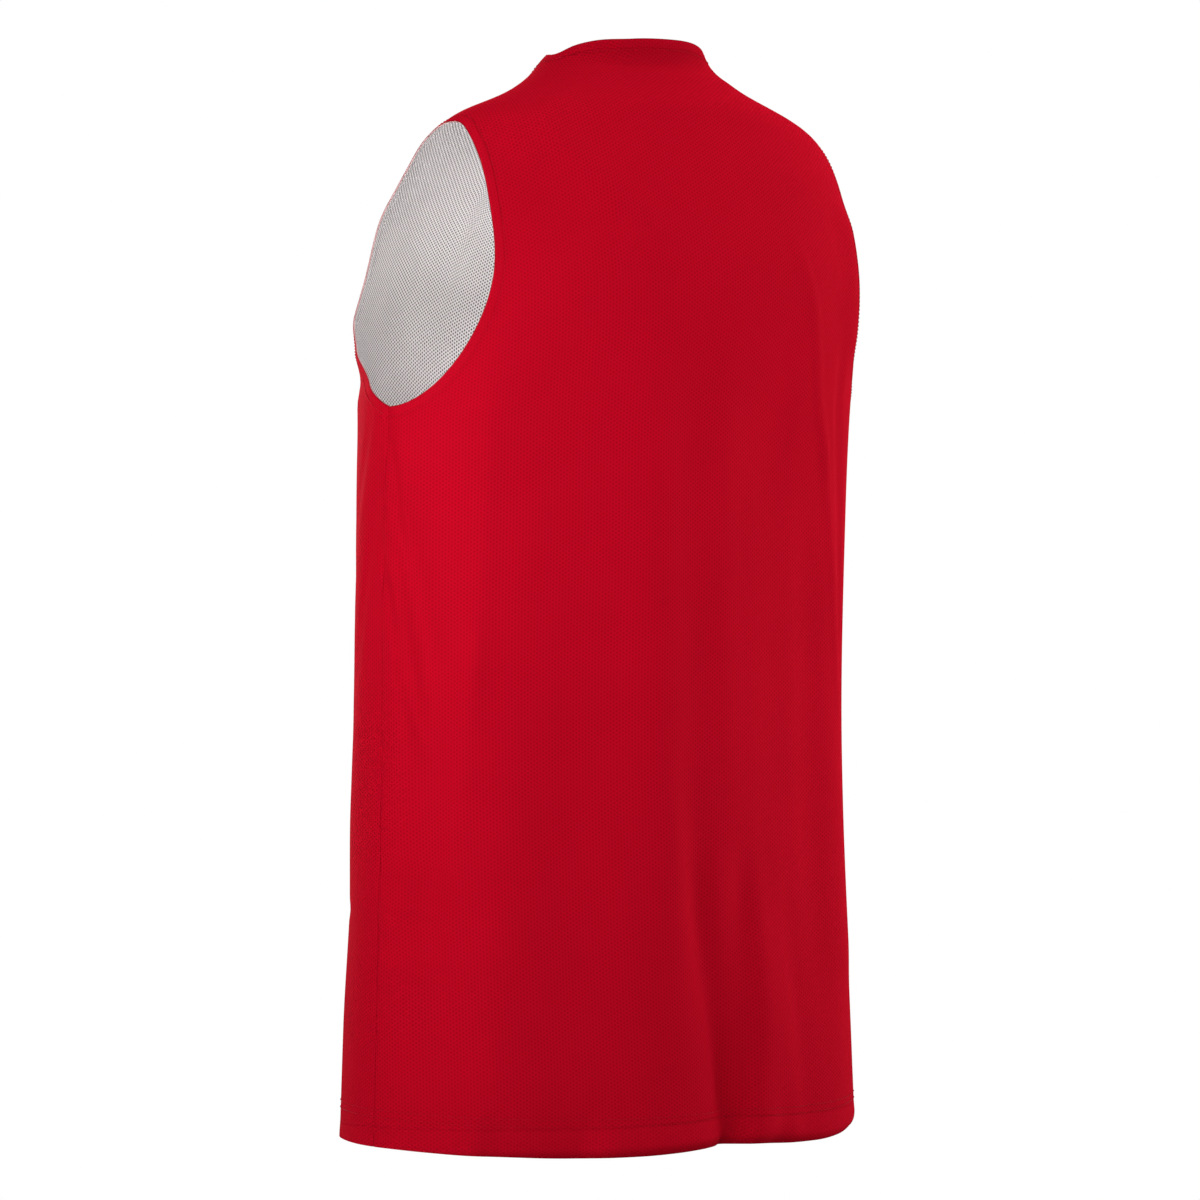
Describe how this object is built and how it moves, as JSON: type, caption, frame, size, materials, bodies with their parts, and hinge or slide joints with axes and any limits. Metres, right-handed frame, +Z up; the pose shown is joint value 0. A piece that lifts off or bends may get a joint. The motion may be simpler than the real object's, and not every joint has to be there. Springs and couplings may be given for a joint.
{
  "type": "basketball jersey",
  "caption": "Sleeveless reversible basketball jersey in red mesh with a white reverse, filled out and hollow as if worn, with open neck, armholes and hem.",
  "frame": {"origin": "between the wearer's shoulders, level with the shoulder tips, where the jersey is held up", "axes": "+Z up from hem to neck, -Y the way the wearer faces, +X the wearer's left"},
  "size_m": [0.4213, 0.2752, 0.7774],
  "materials": {
    "outer_mesh": "red polyester eyelet mesh, matt with a soft sheen",
    "reverse_mesh": "white polyester eyelet mesh, matt"
  },
  "bodies": {
    "root": {"back_outer": "outer_mesh", "front_outer": "outer_mesh", "back_reverse": "reverse_mesh", "front_reverse": "reverse_mesh"}
  },
  "joints": []
}
